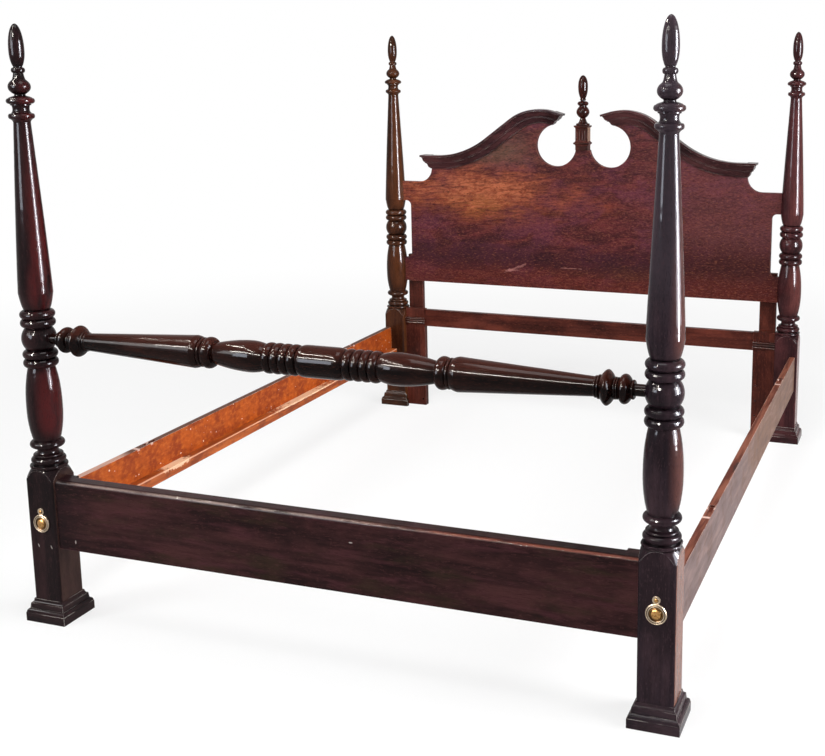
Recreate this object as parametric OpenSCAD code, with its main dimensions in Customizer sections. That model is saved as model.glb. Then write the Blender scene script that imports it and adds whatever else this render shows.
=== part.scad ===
// Four-poster bed with a low footboard rail, a turned blanket rail that turns
// in sockets in the foot posts, two side rails with ledger strips, and a
// broken-pediment headboard with swan-neck mouldings and turned finials.
// Frame: origin on the floor under the middle of the bed, +X to the right
// seen from the foot, +Y to the head, +Z up. Millimetres.

/* [Layout] */
// Distance across the bed between post axes
post_span_x = 1620; // [1460:10:2000]
// Distance along the bed between post axes
post_span_y = 2126; // [1800:10:2400]

/* [Post block] */
// Width of the square part of a post
block_w = 86; // [76:1:110]
// Rounding of the block's upright edges
block_round = 8; // [2:0.5:12]
// Height at which the square part ends
block_h = 414; // [400:1:480]
// Height of the shoulder cut across the block's corners
shoulder_h = 29; // [20:1:44]
// Radius at the top of the shoulder
shoulder_r = 40; // [34:0.5:41]

/* [Post turning, from the block up] */
// Height of the thin disc on the shoulder
disc_h = 7; // [5:0.5:10]
// Radius of the thin disc, which the block's faces cut
disc_r = 47; // [44:0.5:50]
// Height of the valley over the disc
disc_valley_h = 4; // [2:0.5:6]
// Radius of the round collars
collar_r = 43; // [42:0.5:46]
// Radius of the valleys beside the collars
valley_r = 33; // [30:0.5:36]
// Height of the lowest collar
low_collar_h = 17; // [12:1:24]
// Height of the small bead over the lowest collar
neck_bead_h = 8; // [5:0.5:12]
// Radius of that bead
neck_bead_r = 37; // [34:0.5:40]
// Height of the neck's cove
neck_h = 16; // [12:1:26]
// Radius of the neck at its throat
neck_r = 26; // [20:0.5:30]
// Height of the collar under the vase
vase_collar_h = 19; // [12:1:24]
// Height of the vase
vase_h = 194; // [160:1:230]
// Largest radius of the vase
vase_r = 44; // [42.5:0.5:44]
// Height of each of the four collars beside the ball
collar_h = 22.5; // [16:0.5:28]
// Height of the ball between its flats
ball_h = 58; // [52:1:66]
// Radius of the ball
ball_r = 42.8; // [42:0.1:44]
// Radius at the foot of the long taper
taper_neck_r = 30; // [26:0.5:33]
// Height of the swell at the foot of the taper
taper_foot_h = 44; // [30:1:60]
// Largest radius of the taper
taper_r = 42; // [38:0.5:44]
// Height of the long taper
taper_h = 425; // [300:1:600]
// Radius at the top of the taper
taper_top_r = 20.4; // [18:0.2:24]
// Height of the flare over the taper
flare_h = 9; // [6:1:16]
// Radius of the flare at its top
flare_r = 27; // [24:0.5:30]
// Height of the small collar over the flare
top_collar_h = 13; // [10:1:18]
// Radius of the small collar
top_collar_r = 31; // [28:0.5:34]
// Height of the upper neck
top_neck_h = 20; // [16:1:28]
// Radius of the upper neck
top_neck_r = 19.8; // [17:0.2:22]
// Height of the cap under the finial
cap_collar_h = 14; // [12:1:20]
// Radius of the cap
cap_collar_r = 33.5; // [31:0.5:38]
// Height of the fillet under the cap
cap_fillet_h = 3; // [2:0.5:5]
// Radius of that fillet
cap_fillet_r = 24.5; // [23:0.5:28]
// Radius of the cap's flat top
cap_top_r = 29; // [28:0.5:31]

/* [Post finial] */
// Height of the finial's domed foot
fin_foot_h = 6; // [4:0.5:9]
// Radius of the domed foot
fin_foot_r = 28; // [24:0.5:28]
// Height of the cove over the foot
fin_cove_h = 5; // [4:0.5:8]
// Radius of the cove's throat
fin_cove_r = 13; // [11:0.5:15]
// Height of the finial's urn
fin_urn_h = 33; // [26:1:40]
// Radius of the urn
fin_urn_r = 26.6; // [24:0.2:30]
// Radius where the urn passes into the stem
fin_urn_end_r = 17; // [15:0.5:19]
// Height of the stem over the urn
fin_stem_h = 17; // [12:1:22]
// Radius of the stem
fin_stem_r = 11.8; // [10:0.1:13]
// Height of the finial's ring
fin_ring_h = 13; // [8:1:16]
// Radius of the ring
fin_ring_r = 16.4; // [14:0.2:19]
// Height of the neck under the bud
fin_neck_h = 4; // [3:0.5:8]
// Radius of the neck under the bud
fin_neck_r = 10.6; // [9:0.1:12]
// Height of the bud's lower part
fin_bud_low = 41; // [30:1:50]
// Height of the bud's rounded upper part
fin_bud_top = 60; // [45:1:75]
// Radius of the bud
fin_bud_r = 18.4; // [15:0.2:22]
// Radius of the finials' dowels
dowel_r = 8; // [5:0.5:9]
// Length of the finials' dowels
dowel_len = 36; // [24:1:40]

/* [Plinth moulding] */
// Height of the moulding round the foot of a post
plinth_h = 58; // [50:1:80]
// Projection of the moulding from the block
plinth_out = 17; // [12:0.5:24]
// Height of the plinth's square lower part
plinth_base_h = 23; // [16:1:30]

/* [Foot rail] */
// Height of the rails' lower edge over the floor
rail_z = 204; // [160:1:240]
// Height of the foot rail
foot_rail_h = 184; // [120:1:200]
// Set-back of rails from the blocks' outer faces
rail_set_back = 8; // [4:0.5:14]
// Thickness of the foot rail at its ends
foot_rail_t = 50; // [40:1:60]
// Depth of the relief in the foot rail's back
foot_relief = 12; // [4:0.5:20]
// Length of the full thickness at each end
foot_relief_end = 35; // [20:1:60]
// Rounding of the foot rail's top front edge
foot_round = 11; // [4:0.5:16]

/* [Blanket rail] */
// Radius of the tenons that turn in the posts
tenon_r = 13.5; // [10:0.25:18]
// Length of a tenon inside its socket
tenon_in = 27; // [16:1:32]
// Half length of the barrel in the middle
barrel_half = 61; // [40:1:90]
// Radius of the barrel
barrel_r = 38.5; // [35:0.5:44]
// Height of each middle ring
ring_h = 22; // [16:1:28]
// Radius of the middle rings
ring_r = 37.5; // [34:0.5:42]
// Radius of the valleys between middle rings
ring_valley_r = 31; // [26:0.5:33]
// Length of the vase beside the rings
rail_vase_len = 141; // [100:1:180]
// Radius of that vase
rail_vase_r = 38.5; // [34:0.5:44]
// Radius of the valley beyond the vase
rail_valley_r = 25; // [20:0.5:28]
// Length of the single ring beyond the vase
single_ring_len = 27; // [20:1:36]
// Length of the thin bead next to the long taper
thin_bead_len = 9; // [6:0.5:14]
// Length of the round shoulder of the long taper
rail_swell_len = 16; // [10:1:30]
// Largest radius of the rail's long taper
rail_taper_r = 40.3; // [37:0.1:44]
// Radius at the thin end of the long taper
rail_taper_end_r = 22; // [18:0.5:24]
// Length of the outer ring beside the taper
outer_ring_len = 31; // [24:1:44]
// Radius of the outer ring
outer_ring_r = 39.8; // [34:0.1:44]
// Length of the pair of small beads inside the outer ring
inner_beads = 13; // [8:0.5:18]
// Length of the pair of small beads between outer ring and knob
outer_beads = 10; // [6:0.5:14]
// Length of the end knob
knob_len = 28; // [22:1:36]
// Radius of the end knob
knob_r = 33; // [28:0.5:38]
// Length of the collar beyond the knob
knob_collar = 7; // [5:0.5:10]
// Bare tenon between that collar and the post
tenon_bare = 23; // [14:1:30]

/* [Side rails and ledgers] */
// Thickness of a side rail
side_rail_t = 20; // [16:0.5:34]
// Height of a side rail
side_rail_h = 130; // [110:1:180]
// Length of the recesses in the rails' top edges
recess_len = 50; // [30:1:80]
// Depth of the recesses
recess_deep = 6; // [2:0.5:10]
// Wood left on both sides of a recess
recess_wall = 3; // [2:0.5:5]
// Distance from bed middle to the recesses towards the foot
recess_foot = 617; // [300:1:800]
// Distance from bed middle to the recesses towards the head
recess_head = 680; // [300:1:800]
// Width and height of the ledger strips
ledger_w = 28; // [20:0.5:36]
// Height of the ledger over the rail's lower edge
ledger_up = 13; // [0:0.5:24]
// Distance from the ledger's end to the block
ledger_gap = 10; // [2:1:60]

/* [Rail fasteners] */
// Thickness of the hook and keeper plates
plate_t = 3; // [2:0.25:4]
// Length of a hook plate along the rail
hook_plate_len = 100; // [94:1:120]
// Height of a hook plate
hook_plate_h = 72; // [64:1:76]
// Height of one hook
hook_h = 18; // [12:0.5:20]
// Reach of a hook past the rail's end
hook_out = 13; // [11:0.5:18]
// Width of the keeper plate
keeper_w = 18; // [14:0.5:19]
// Height of the keeper plate
keeper_h = 92; // [90:1:110]
// Radius of the pins that hold a hook plate
pin_r = 2.5; // [1.5:0.1:3.5]
// Length of a pin, from the rail's inner face
pin_len = 16; // [13:0.5:16]

/* [Headboard] */
// Thickness of the headboard panel
panel_t = 20; // [16:0.5:26]
// Height of the panel's lower edge
panel_z = 533; // [500:1:560]
// Height of the lower lug
lug_h = 97; // [60:1:110]
// Height of the slot between panel and post
slot_h = 238; // [180:1:260]
// Distance from a post's axis to the panel's edge at the slots
slot_in = 73; // [65:1:110]
// Corner radius of the slots
slot_round = 20; // [8:0.5:26]
// Height of the ear over the slot
ear_h = 79; // [60:1:100]
// Distance from a post's axis to the panel's edge over the ears
upper_in = 169; // [145:1:210]
// Height from the ear's top to the moulding
upper_h = 56; // [48:1:64]
// Depth of the lugs in the posts
lug_in = 23; // [12:1:30]
// Distance of the round openings from the middle
eye_x = 109; // [105:1:116]
// Radius of the round openings
eye_r = 82; // [70:1:82]
// Distance of the round openings' centres inward from the crest's centre
eye_in = 61; // [58:1:64]
// Height of the round openings' centres over the crest's centre
eye_over = 61; // [56:1:64]

/* [Swan-neck moulding] */
// Height of the moulding's section
swan_h = 55; // [46:1:60]
// Projection of the moulding's section
swan_out = 37; // [32:1:46]
// Length of the level outer run
swan_flat = 31; // [10:1:60]
// Radius of the lower bend, at the section's foot
swan_r1 = 412; // [380:1:430]
// Sine of the slope between the two bends
swan_slope = 0.6; // [0.56:0.01:0.62]
// Radius of the upper bend, at the section's foot
swan_r2 = 148; // [130:1:160]
// Sine of the fall from the crest to the inner end
swan_drop = 0.28; // [0.2:0.01:0.32]

/* [Centre plinth and finial] */
// Width of the fluted centre plinth
die_w = 50; // [40:1:54]
// Depth of the centre plinth
die_d = 38; // [30:1:44]
// Height of the block under the base ring
die_foot_h = 19; // [12:1:26]
// Height of the base ring
die_ring_h = 15; // [10:1:20]
// Height of the fluted part
die_h = 55; // [40:1:70]
// Height of the cap
die_cap_h = 6; // [4:0.5:10]
// Projection of the base ring
die_ring_out = 7; // [4:0.5:8]
// Projection of the cap
die_cap_out = 5; // [3:0.5:8]
// Number of flutes
flute_count = 4; // [3:1:4]
// Radius of a flute
flute_r = 4; // [2.5:0.25:4.5]
// Height of the centre finial's foot disc
cf_foot_h = 8; // [6:0.5:12]
// Radius of the foot disc
cf_foot_r = 27; // [22:0.5:28]
// Height of the foot's hollow stem
cf_stem_h = 20; // [16:1:26]
// Radius of the stem
cf_stem_r = 10.5; // [9:0.5:12]
// Height of the urn
cf_urn_h = 41; // [34:1:50]
// Radius of the urn
cf_urn_r = 25.5; // [22:0.5:30]
// Radius of the necks above and below the urn
cf_neck_r = 14.5; // [13:0.5:17]
// Height of the ring over the urn
cf_ring_h = 17; // [12:1:22]
// Radius of the ring
cf_ring_r = 21.5; // [19:0.5:25]
// Height of each small neck in the finial
cf_neck_h = 3.5; // [2.5:0.5:6]
// Radius of the neck over the ring
cf_top_r = 9.5; // [8:0.5:11]
// Height of the small ring
cf_bead_h = 6.5; // [5:0.5:10]
// Radius of the small ring
cf_bead_r = 11.5; // [11:0.5:14]
// Height of the bud's lower part
cf_bud_low = 48; // [38:1:56]
// Height of the bud's rounded upper part
cf_bud_top = 41; // [32:1:50]
// Radius of the bud
cf_bud_r = 19; // [16:0.5:23]

/* [Headboard frame] */
// Width of the leg boards beside the head posts
leg_w = 84; // [60:1:110]
// Thickness of the leg boards
leg_t = 26; // [20:0.5:30]
// Height of the leg boards
leg_h = 415; // [410:1:420]
// Height of the cross rail's lower edge
cross_z = 342; // [300:1:345]
// Height of the cross rail
cross_h = 70; // [50:1:72]
// Length of the cross rail's tenons
cross_tenon = 22; // [10:1:30]
// Width of the stiles behind the panel
stile_w = 62; // [50:1:70]
// Thickness of the stiles
stile_t = 20; // [15:0.5:24]
// Height of the stiles' lower ends
stile_z = 345; // [310:1:370]
// Overlap of the stiles on the panel
stile_lap = 107; // [60:1:115]
// Height of the leg caps' lower edge
leg_cap_z = 351; // [330:1:370]
// Height of the leg caps
leg_cap_h = 27; // [20:1:34]
// Projection of the leg caps
leg_cap_out = 9; // [6:0.5:12]
// Radius of the bolt holes in the legs
leg_hole_r = 3.5; // [2.5:0.25:5]
// Distance between the bolt holes
leg_hole_pitch = 59.5; // [40:0.5:70]
// Height of the lowest bolt hole
leg_hole_z = 26; // [20:1:40]
// Distance of the holes from the leg's inner edge
leg_hole_in = 13; // [10:0.5:30]

/* [Bolt covers] */
// Radius of a round cover
cover_r = 24; // [18:0.5:30]
// Height of the cover's relief
cover_t = 7; // [5:0.25:9]
// Radius of the eye round the pivot screw
eyelet_r = 9; // [7:0.5:11]
// Distance from the pivot down to the cover's middle
cover_drop = 32; // [27:0.5:40]
// Height of the cover's middle over the floor
cover_z = 270.5; // [230:0.5:320]
// Radius of the pivot screw's shank
pivot_r = 2.5; // [2:0.1:3.5]
// Radius of the pivot screw's head
pivot_head_r = 5; // [4:0.1:6.5]

/* [Clearances] */
// Clearance round fixed tenons and plates
fit_gap = 0.3; // [0.1:0.05:0.5]
// Radial clearance of turning and lifting fits
run_gap = 0.05; // [0.01:0.01:0.1]
// Gap between turning pieces and what they face
face_gap = 0.5; // [0.3:0.1:1.5]

/* [Hidden] */
$fn = 64;

// Colours as in the photograph
mahogany_dark = "#2a1511";
mahogany_red = "#6b3124";
rail_wood = "#8a4a22";
strip_wood = "#b98d5a";
brass = "#c9a24a";
steel = "#6f6a64";

// Shared planes and heights
px = post_span_x / 2;
py = post_span_y / 2;
bh = block_w / 2;
corner_r = sqrt(2) * (bh - block_round) + block_round;
rail_out_x = px + bh - rail_set_back;
rail_in_x = rail_out_x - side_rail_t;
rail_top = rail_z + side_rail_h;
rail_end_y = py - bh;
inner_x = px - bh;
foot_front_y = -py - bh + rail_set_back;
panel_y = py - panel_t / 2;
panel_back_y = py + panel_t / 2;
lug_top = panel_z + lug_h;
slot_top = lug_top + slot_h;
ear_top = slot_top + ear_h;
swan_z = ear_top + upper_h;
slot_x = px - slot_in;
upper_x = px - upper_in;
eps = 0.01;

// --- turned profiles -------------------------------------------------
// A turning is a list of elements stacked from start to end. Each element
// is [kind, height, middle radius, end radius, place of middle, fullness].
// It starts at the radius at which the last one ends.
FLAT = 0;
BEAD = 1;
SWELL = 2;
TAPER = 3;
DOME = 4;
BALL = 5;

// Points of one element from height z and radius a
function element(e, z, a) =
    e[0] == FLAT ? [[e[2], z], [e[2], z + e[1]]]
    : e[0] == BEAD ? [for (i = [0:10]) let (t = -90 + 18 * i, s = t < 0 ? a : e[3])
        [s + (e[2] - s) * cos(t), z + e[1] / 2 * (1 + sin(t))]]
    : e[0] == SWELL ? [for (i = [0:18]) let (u = i / 18, f = e[4],
        d = u < f ? 1 - u / f : (u - f) / (1 - f), s = u < f ? a : e[3])
        [e[2] - (e[2] - s) * pow(d, e[5]), z + e[1] * u]]
    : e[0] == TAPER ? [for (i = [0:12]) let (u = i / 12)
        [a + (e[3] - a) * pow(u, e[5]), z + e[1] * u]]
    : e[0] == BALL ? [for (i = [0:12]) let (u = i / 12 - 0.5)
        [sqrt(e[2] * e[2] - e[1] * e[1] * u * u), z + e[1] * (u + 0.5)]]
    : [for (i = [0:9]) let (t = 9.5 * i)
        [e[2] * cos(t), z + e[1] * sin(t) / sin(85.5)]];

// Points of the whole stack, and its height
function turning(list, z = 0, a = 0, i = 0) =
    i >= len(list) ? []
    : concat(element(list[i], z, a), turning(list, z + list[i][1], list[i][3], i + 1));
function stack_h(list, to = 1000, i = 0) =
    i >= min(len(list), to) ? 0 : list[i][1] + stack_h(list, to, i + 1);

// Closed outline for a revolve: axis, foot, profile and top
function closed(pts) = concat([[0, pts[0][1]]], pts, [[0, pts[len(pts) - 1][1]]]);

ball_end_r = sqrt(ball_r * ball_r - ball_h * ball_h / 4);

// Turning of a post from the disc to the flat under the finial
post_list = [
    [FLAT, disc_valley_h, valley_r + 3, valley_r + 3],
    [BEAD, low_collar_h, collar_r, valley_r],
    [BEAD, neck_bead_h, neck_bead_r, valley_r - 2],
    [BEAD, neck_h, neck_r, valley_r],
    [BEAD, vase_collar_h, collar_r, valley_r],
    [SWELL, vase_h, vase_r, valley_r, 0.46, 2.3],
    [BEAD, collar_h, collar_r, valley_r],
    [BEAD, collar_h, collar_r, ball_end_r],
    [BALL, ball_h, ball_r, ball_end_r],
    [BEAD, collar_h, collar_r, valley_r],
    [BEAD, collar_h, collar_r, taper_neck_r],
    [TAPER, taper_foot_h, 0, taper_r, 0, 0.55],
    [TAPER, taper_h, 0, taper_top_r, 0, 1.15],
    [TAPER, flare_h, 0, flare_r, 0, 2],
    [BEAD, top_collar_h, top_collar_r, flare_r],
    [BEAD, top_neck_h, top_neck_r, cap_fillet_r - 2],
    [FLAT, cap_fillet_h, cap_fillet_r, cap_fillet_r],
    [BEAD, cap_collar_h, cap_collar_r, cap_top_r]
];
turning_z = block_h + disc_h;
post_top = turning_z + stack_h(post_list);
ball_z = turning_z + stack_h(post_list, 8) + ball_h / 2;

finial_list = [
    [TAPER, fin_foot_h, 0, fin_cove_r + 1.5, 0, 1.8],
    [BEAD, fin_cove_h, fin_cove_r, fin_cove_r + 2.5],
    [SWELL, fin_urn_h, fin_urn_r, fin_urn_end_r, 0.5, 2.2],
    [TAPER, fin_stem_h, 0, fin_stem_r, 0, 0.5],
    [BEAD, fin_ring_h, fin_ring_r, fin_stem_r],
    [BEAD, fin_neck_h, fin_neck_r, fin_stem_r],
    [SWELL, fin_bud_low, fin_bud_r, fin_bud_r, 0.999, 2.6],
    [DOME, fin_bud_top, fin_bud_r, 0]
];

centre_finial_list = [
    [BEAD, cf_foot_h, cf_foot_r, cf_foot_r - 4],
    [TAPER, cf_stem_h, 0, cf_stem_r, 0, 0.45],
    [TAPER, cf_neck_h, 0, cf_neck_r, 0, 2],
    [SWELL, cf_urn_h, cf_urn_r, cf_neck_r, 0.48, 2],
    [FLAT, cf_neck_h, cf_neck_r, cf_neck_r],
    [BEAD, cf_ring_h, cf_ring_r, cf_top_r],
    [FLAT, cf_neck_h, cf_top_r, cf_top_r],
    [BEAD, cf_bead_h, cf_bead_r, cf_top_r],
    [SWELL, cf_bud_low, cf_bud_r, cf_bud_r, 0.999, 2.6],
    [DOME, cf_bud_top, cf_bud_r, 0]
];

// Half of the blanket rail, from its middle to the post
rail_list = [
    [SWELL, barrel_half, barrel_r, ring_valley_r, 0.5, 4],
    [BEAD, ring_h, ring_r, ring_valley_r],
    [BEAD, ring_h, ring_r, ring_valley_r],
    [BEAD, ring_h, ring_r, ring_valley_r],
    [BEAD, ring_h, ring_r, ring_valley_r],
    [SWELL, rail_vase_len, rail_vase_r, rail_valley_r, 0.28, 1.9],
    [BEAD, single_ring_len, barrel_r, ring_valley_r],
    [BEAD, thin_bead_len, ring_valley_r + 5, ring_valley_r + 1],
    [TAPER, rail_swell_len, 0, rail_taper_r, 0, 0.4]
];
// Its end, from the taper to the bare tenon
rail_end_list = [
    [BEAD, inner_beads / 2, rail_taper_end_r + 2.5, rail_taper_end_r],
    [BEAD, inner_beads / 2, rail_taper_end_r + 5, rail_taper_end_r + 2.5],
    [SWELL, outer_ring_len, outer_ring_r, rail_taper_end_r, 0.48, 1.6],
    [BEAD, outer_beads / 2, rail_taper_end_r + 3, rail_taper_end_r - 0.5],
    [BEAD, outer_beads / 2, rail_taper_end_r + 2.5, rail_taper_end_r - 0.5],
    [SWELL, knob_len, knob_r, rail_taper_end_r - 3, 0.45, 2.2],
    [BEAD, knob_collar, rail_taper_end_r - 0.5, rail_taper_end_r - 4]
];

module turned(list, z = 0, a = 0) {
    rotate_extrude()
        polygon(closed(turning(list, z, a)));
}

// --- posts -----------------------------------------------------------
module block_outline(grow = 0) {
    w = block_w + 2 * grow;
    r = block_round + grow;
    square([w, w - 2 * r], center = true);
    square([w - 2 * r, w], center = true);
    for (x = [-1, 1])
        for (y = [-1, 1])
            translate([x * (w / 2 - r), y * (w / 2 - r)])
                circle(r);
}

// Shoulder and disc, turned after the square was planed: the block's faces
// end in arches, and its corners shoulder_h below the disc
module shoulder_form() {
    rotate_extrude()
        polygon(concat([[0, 0], [shoulder_r + 1.3 * (corner_r - shoulder_r), 0]],
            [for (i = [12:-1:0]) let (u = 1.3 * i / 12)
                [shoulder_r + (corner_r - shoulder_r) * u, block_h - shoulder_h * pow(u, 1.5)]],
            element([BEAD, disc_h, disc_r, disc_r - 2], block_h, disc_r - 2),
            [[0, block_h + disc_h]]));
}

module post_body() {
    difference() {
        union() {
            intersection() {
                linear_extrude(turning_z)
                    block_outline();
                shoulder_form();
            }
            turned(post_list, turning_z, valley_r + 3);
            // The turning and the block are one piece of wood
            translate([0, 0, block_h])
                cylinder(r = valley_r, h = disc_h + disc_valley_h / 2);
        }
        // Socket for the finial's dowel
        translate([0, 0, post_top - dowel_len - face_gap])
            cylinder(r = dowel_r, h = dowel_len + face_gap + 1);
    }
}

// Pocket behind a keeper plate, opening at the block's face y = s * bh
module keeper_pocket(side, s) {
    z0 = hook_mid_z - keeper_h / 2;
    translate([side * (hook_x - px) - keeper_w / 2 - fit_gap, s * bh - (s > 0 ? plate_t : 1), z0 - fit_gap])
        cube([keeper_w + 2 * fit_gap, plate_t + 1, keeper_h + 2 * fit_gap]);
    translate([side * (hook_x - px) - plate_t - 1, s > 0 ? bh - hook_out - 4 : -bh, z0 + 6])
        cube([2 * plate_t + 2, hook_out + 4, keeper_h - 12]);
}

module foot_post(side) {
    translate([side * px, -py, 0])
        difference() {
            post_body();
            // Mortise for the foot rail's tenon, in the inner face
            translate([side > 0 ? -bh - 1 : bh - foot_tenon_len - fit_gap,
                tenon_y - foot_tenon_t / 2 - fit_gap,
                rail_z + foot_tenon_in - fit_gap])
                cube([foot_tenon_len + fit_gap + 1, foot_tenon_t + 2 * fit_gap,
                    foot_rail_h - 2 * foot_tenon_in + 2 * fit_gap]);
            // Socket for the blanket rail
            translate([0, 0, ball_z])
                rotate([0, -side * 90, 0])
                    translate([0, 0, socket_floor])
                        cylinder(r = tenon_r, h = ball_r);
            keeper_pocket(side, 1);
            // Screw hole of the bolt cover
            translate([0, -bh - 1, cover_z + cover_drop])
                rotate([-90, 0, 0])
                    cylinder(r = pivot_r, h = pivot_len + 1);
        }
}

module head_post(side) {
    translate([side * px, py, 0])
        difference() {
            post_body();
            // Mortises for the headboard's lug and ear
            for (z = [[panel_z, lug_h], [slot_top, ear_h]])
                translate([side > 0 ? -bh - 4 : lug_floor - fit_gap, -panel_t / 2 - fit_gap, z[0] - fit_gap])
                    cube([bh + 4 - lug_floor + fit_gap, panel_t + 2 * fit_gap, z[1] + 2 * fit_gap]);
            keeper_pocket(side, -1);
        }
}

// Foot rail tenons and blanket rail sockets
foot_tenon_len = 38;
foot_tenon_t = 18;
foot_tenon_in = 20;
tenon_y = -bh + rail_set_back + (foot_rail_t - foot_relief) / 2;
lug_floor = bh - lug_in;
socket_floor = sqrt(ball_r * ball_r - tenon_r * tenon_r) - tenon_in;
pivot_len = 22;

module post_foot_left() color(mahogany_dark) foot_post(-1);
module post_foot_right() color(mahogany_dark) foot_post(1);
module post_head_left() color(mahogany_dark) head_post(-1);
module post_head_right() color(mahogany_dark) head_post(1);

// --- finials ---------------------------------------------------------
module finial(x, y) {
    translate([x, y, post_top]) {
        turned(finial_list, 0, fin_foot_r);
        translate([0, 0, -dowel_len])
            cylinder(r = dowel_r - run_gap, h = dowel_len + fin_foot_h / 2);
    }
}

module finial_foot_left() color(mahogany_dark) finial(-px, -py);
module finial_foot_right() color(mahogany_dark) finial(px, -py);
module finial_head_left() color(mahogany_dark) finial(-px, py);
module finial_head_right() color(mahogany_dark) finial(px, py);

// --- plinth mouldings ------------------------------------------------
// Half section: [projection from the block, height]
plinth_list = concat(
    [[plinth_out, 0], [plinth_out, plinth_base_h]],
    [for (i = [0:6]) let (t = 15 * i)
        [plinth_out - 1 - (plinth_out - 10) * (1 - cos(t)), plinth_base_h + 10 * sin(t)]],
    [[9, plinth_base_h + 11], [7.5, plinth_h - 12], [7.5, plinth_h - 11], [6.5, plinth_h - 10]],
    [for (i = [1:6]) let (t = 15 * i)
        [6.5 - 5.5 * sin(t), plinth_h - 10 * cos(t)]]
);

// A moulding mitred round a box: each point of the list is [projection,
// height], and the back can stay flush
module moulded_box(w, d, list, flush_back = false) {
    intersection() {
        rotate([90, 0, 90])
            translate([0, 0, -w])
                linear_extrude(2 * w)
                    moulded_section(d, list, flush_back);
        rotate([90, 0, 0])
            translate([0, 0, -d])
                linear_extrude(2 * d)
                    moulded_section(w, list, false);
    }
}

module moulded_section(w, list, flush) {
    n = len(list);
    polygon(concat([for (p = list) [w / 2 + (flush ? 0 : p[0]), p[1]]],
        [for (i = [n - 1:-1:0]) [-w / 2 - list[i][0], list[i][1]]]));
}

module plinth(side, open) {
    difference() {
        moulded_box(block_w, block_w, plinth_list);
        translate([0, 0, -1])
            linear_extrude(plinth_h + 2)
                block_outline();
        // Head posts: no run on the inner side, where the leg board stands
        if (open) {
            translate([side > 0 ? -block_w : 0, -bh, -1])
                cube([block_w, block_w, plinth_h + 2]);
        }
    }
}

module plinth_foot_left() color(mahogany_dark) translate([-px, -py, 0]) plinth(-1, false);
module plinth_foot_right() color(mahogany_dark) translate([px, -py, 0]) plinth(1, false);
module plinth_head_left() color(mahogany_dark) translate([-px, py, 0]) plinth(-1, true);
module plinth_head_right() color(mahogany_dark) translate([px, py, 0]) plinth(1, true);

// --- foot rail -------------------------------------------------------
module foot_rail_section() {
    t = foot_rail_t;
    difference() {
        translate([foot_front_y, rail_z])
            square([t, foot_rail_h]);
        translate([foot_front_y - 1, rail_z + foot_rail_h - foot_round])
            square([foot_round + 1, foot_round + 1]);
    }
    translate([foot_front_y + foot_round, rail_z + foot_rail_h - foot_round])
        circle(foot_round);
}

module foot_rail() color(mahogany_dark) {
    difference() {
        translate([-inner_x, 0, 0])
            rotate([90, 0, 90])
                linear_extrude(2 * inner_x)
                    foot_rail_section();
        translate([-inner_x + foot_relief_end, foot_front_y + foot_rail_t - foot_relief, rail_z - 1])
            cube([2 * (inner_x - foot_relief_end), foot_relief + 1, foot_rail_h + 2]);
    }
    for (s = [-1, 1])
        translate([s > 0 ? inner_x - 1 : -inner_x - foot_tenon_len, -py + tenon_y - foot_tenon_t / 2,
            rail_z + foot_tenon_in])
            cube([foot_tenon_len + 1, foot_tenon_t, foot_rail_h - 2 * foot_tenon_in]);
}

// --- blanket rail ----------------------------------------------------
rail_ball_x = px - sqrt(ball_r * ball_r - tenon_r * tenon_r);
rail_shaft_x = rail_ball_x - tenon_bare;
rail_taper_len = rail_shaft_x - stack_h(rail_list) - stack_h(rail_end_list);
rail_profile = concat(
    turning(rail_list, 0, barrel_r),
    turning([[TAPER, rail_taper_len, 0, rail_taper_end_r, 0, 1]], stack_h(rail_list), rail_taper_r),
    turning(rail_end_list, stack_h(rail_list) + rail_taper_len, rail_taper_end_r));
rail_points = concat(
    [for (i = [len(rail_profile) - 1:-1:1]) [rail_profile[i][0], -rail_profile[i][1]]],
    rail_profile);

module blanket_rail() color(mahogany_dark) {
    translate([0, -py, ball_z])
        rotate([0, 90, 0]) {
            rotate_extrude()
                polygon(closed(rail_points));
            translate([0, 0, -rail_ball_x - tenon_in + face_gap])
                cylinder(r = tenon_r - run_gap, h = 2 * (rail_ball_x + tenon_in - face_gap));
        }
}

// --- side rails, ledgers and their fasteners -------------------------
hook_x = rail_in_x + side_rail_t / 2;
hook_mid_z = rail_z + ledger_up + ledger_w + 6 + hook_plate_h / 2;

module side_rail(side) {
    difference() {
        translate([side > 0 ? rail_in_x : -rail_out_x, -rail_end_y, rail_z])
            cube([side_rail_t, 2 * rail_end_y, side_rail_h]);
        // Shallow recesses in the top edge
        for (y = [-recess_foot, recess_head])
            translate([side * hook_x - side_rail_t / 2 + recess_wall, y - recess_len / 2,
                rail_top - recess_deep])
                cube([side_rail_t - 2 * recess_wall, recess_len, recess_deep + 1]);
        // Kerf for the hook plate, open at the rail's end
        for (s = [-1, 1])
            translate([side * hook_x - plate_t / 2 - fit_gap,
                s > 0 ? rail_end_y - hook_plate_len - fit_gap : -rail_end_y - 1,
                hook_mid_z - hook_plate_h / 2 - fit_gap])
                cube([plate_t + 2 * fit_gap, hook_plate_len + fit_gap + 1, hook_plate_h + 2 * fit_gap]);
        hook_pins(side, run_gap);
    }
}

// Pins through one rail's hook plates, from its inner face
pin_spots = [[23, -14], [55, 2], [88, -14]];
module hook_pins(side, grow = 0) {
    for (s = [-1, 1])
        for (p = pin_spots)
            translate([side * (rail_in_x - (grow > 0 ? 1 : 0)), s * (rail_end_y - p[0]), hook_mid_z + p[1]])
                rotate([0, side * 90, 0])
                    cylinder(r = pin_r + grow, h = pin_len + (grow > 0 ? 1 + fit_gap : 0));
}

module side_rail_left() color(rail_wood) side_rail(-1);
module side_rail_right() color(rail_wood) side_rail(1);

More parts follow.
